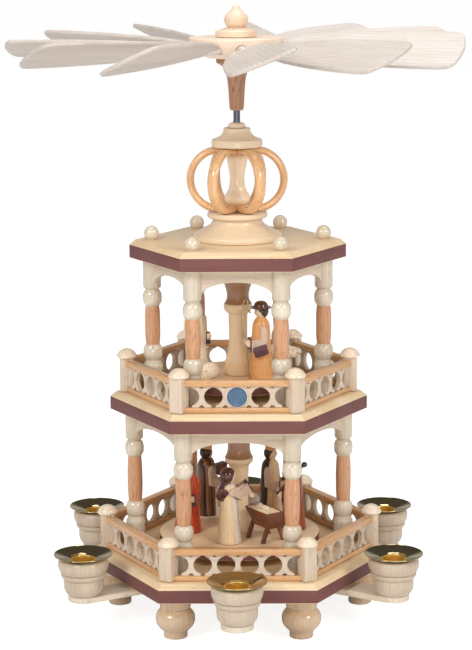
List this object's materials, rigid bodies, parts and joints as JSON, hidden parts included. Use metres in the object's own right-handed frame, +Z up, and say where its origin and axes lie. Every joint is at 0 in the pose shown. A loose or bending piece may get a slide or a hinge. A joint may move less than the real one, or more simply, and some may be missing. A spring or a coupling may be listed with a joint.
{
  "type": "candle carousel",
  "caption": "Two-storey hexagonal wooden candle carousel: candle arms around the foot, turning decks with small figures, and a bladed wheel driven by warm air.",
  "frame": {"origin": "on the table, under the spindle, midway between the feet", "axes": "+Z up along the spindle; +X through a corner of the hexagonal tower; -Y out of the front, where the blue disc is"},
  "size_m": [0.3013, 0.3023, 0.4081],
  "materials": {
    "pale_maple": "clear-varnished maple, semi-gloss",
    "steamed_beech": "clear-varnished steamed beech, semi-gloss",
    "walnut": "waxed dark wood, satin",
    "bog_oak": "near-black wood, satin",
    "padauk": "orange-red wood, satin",
    "zebrano": "striped brown wood, satin",
    "white_fleece": "pale wood carved as wool, matt",
    "polished_brass": "polished",
    "bright_steel": "bright drawn",
    "blue_enamel": "glossy"
  },
  "bodies": {
    "tower": {"base_plate": "pale_maple", "bun_foot_1": "pale_maple", "bun_foot_2": "pale_maple", "bun_foot_3": "pale_maple", "bun_foot_4": "pale_maple", "bun_foot_5": "pale_maple", "bun_foot_6": "pale_maple", "candle_arm_1": "pale_maple", "candle_arm_2": "pale_maple", "candle_arm_3": "pale_maple", "candle_arm_4": "pale_maple", "candle_arm_5": "pale_maple", "candle_arm_6": "pale_maple", "drip_dish_1": "polished_brass", "drip_dish_2": "polished_brass", "drip_dish_3": "polished_brass", "drip_dish_4": "polished_brass", "drip_dish_5": "polished_brass", "drip_dish_6": "polished_brass", "lower_railing": "pale_maple", "upper_railing": "pale_maple", "seal_disc": "blue_enamel", "lower_colonnade": "pale_maple", "upper_colonnade": "pale_maple", "middle_plate": "pale_maple", "roof_plate": "pale_maple", "crown_base": "pale_maple", "crown_cage": "steamed_beech", "crown_collar": "pale_maple", "spindle_bush": "pale_maple", "foot_bearing": "polished_brass"},
    "spindle": {"spindle_rod": "bright_steel", "lower_turntable": "pale_maple", "lower_centre_post": "pale_maple", "mary": "pale_maple", "manger": "walnut", "joseph": "walnut", "king_red": "padauk", "king_striped": "zebrano", "king_black_cape": "pale_maple", "upper_turntable": "pale_maple", "upper_centre_post": "pale_maple", "shepherd": "steamed_beech", "shepherd_fleece": "white_fleece", "sheep_lying": "white_fleece", "sheep_standing": "white_fleece"},
    "wheel": {"wheel_sleeve": "steamed_beech", "wheel_hub": "pale_maple", "wheel_finial": "pale_maple"},
    "blade_1": {"blade_1": "pale_maple"},
    "blade_2": {"blade_2": "pale_maple"},
    "blade_3": {"blade_3": "pale_maple"},
    "blade_4": {"blade_4": "pale_maple"},
    "blade_5": {"blade_5": "pale_maple"},
    "blade_6": {"blade_6": "pale_maple"},
    "blade_7": {"blade_7": "pale_maple"},
    "blade_8": {"blade_8": "pale_maple"},
    "blade_9": {"blade_9": "pale_maple"},
    "blade_10": {"blade_10": "pale_maple"},
    "blade_11": {"blade_11": "pale_maple"}
  },
  "joints": [
    {"name": "spindle_spin", "type": "hinge", "parent": "tower", "child": "spindle", "pos_m": [0, 0, 0.0401], "axis": [0, 0, 1], "continuous": true},
    {"name": "wheel_lift", "type": "slide", "parent": "spindle", "child": "wheel", "axis": [0, 0, 1], "range_m": [0, 0.03]},
    {"name": "blade_1_pitch", "type": "hinge", "parent": "wheel", "child": "blade_1", "pos_m": [-0.03349, 0.00058, 0.37968], "axis": [-0.9998, 0.0175, 0], "continuous": true},
    {"name": "blade_2_pitch", "type": "hinge", "parent": "wheel", "child": "blade_2", "pos_m": [-0.02849, -0.01762, 0.37968], "axis": [-0.8506, -0.5259, 0], "continuous": true},
    {"name": "blade_3_pitch", "type": "hinge", "parent": "wheel", "child": "blade_3", "pos_m": [-0.01445, -0.03023, 0.37968], "axis": [-0.4312, -0.9022, 0], "continuous": true},
    {"name": "blade_4_pitch", "type": "hinge", "parent": "wheel", "child": "blade_4", "pos_m": [0.00419, -0.03324, 0.37968], "axis": [0.125, -0.9922, 0], "continuous": true},
    {"name": "blade_5_pitch", "type": "hinge", "parent": "wheel", "child": "blade_5", "pos_m": [0.02149, -0.0257, 0.37968], "axis": [0.6416, -0.7671, 0], "continuous": true},
    {"name": "blade_6_pitch", "type": "hinge", "parent": "wheel", "child": "blade_6", "pos_m": [0.03197, -0.01, 0.37968], "axis": [0.9544, -0.2984, 0], "continuous": true},
    {"name": "blade_7_pitch", "type": "hinge", "parent": "wheel", "child": "blade_7", "pos_m": [0.0323, 0.00888, 0.37968], "axis": [0.9643, 0.2649, 0], "continuous": true},
    {"name": "blade_8_pitch", "type": "hinge", "parent": "wheel", "child": "blade_8", "pos_m": [0.02238, 0.02493, 0.37968], "axis": [0.668, 0.7442, 0], "continuous": true},
    {"name": "blade_9_pitch", "type": "hinge", "parent": "wheel", "child": "blade_9", "pos_m": [0.00535, 0.03307, 0.37968], "axis": [0.1596, 0.9872, 0], "continuous": true},
    {"name": "blade_10_pitch", "type": "hinge", "parent": "wheel", "child": "blade_10", "pos_m": [-0.01338, 0.03071, 0.37968], "axis": [-0.3995, 0.9167, 0], "continuous": true},
    {"name": "blade_11_pitch", "type": "hinge", "parent": "wheel", "child": "blade_11", "pos_m": [-0.02786, 0.0186, 0.37968], "axis": [-0.8317, 0.5552, 0], "continuous": true}
  ]
}
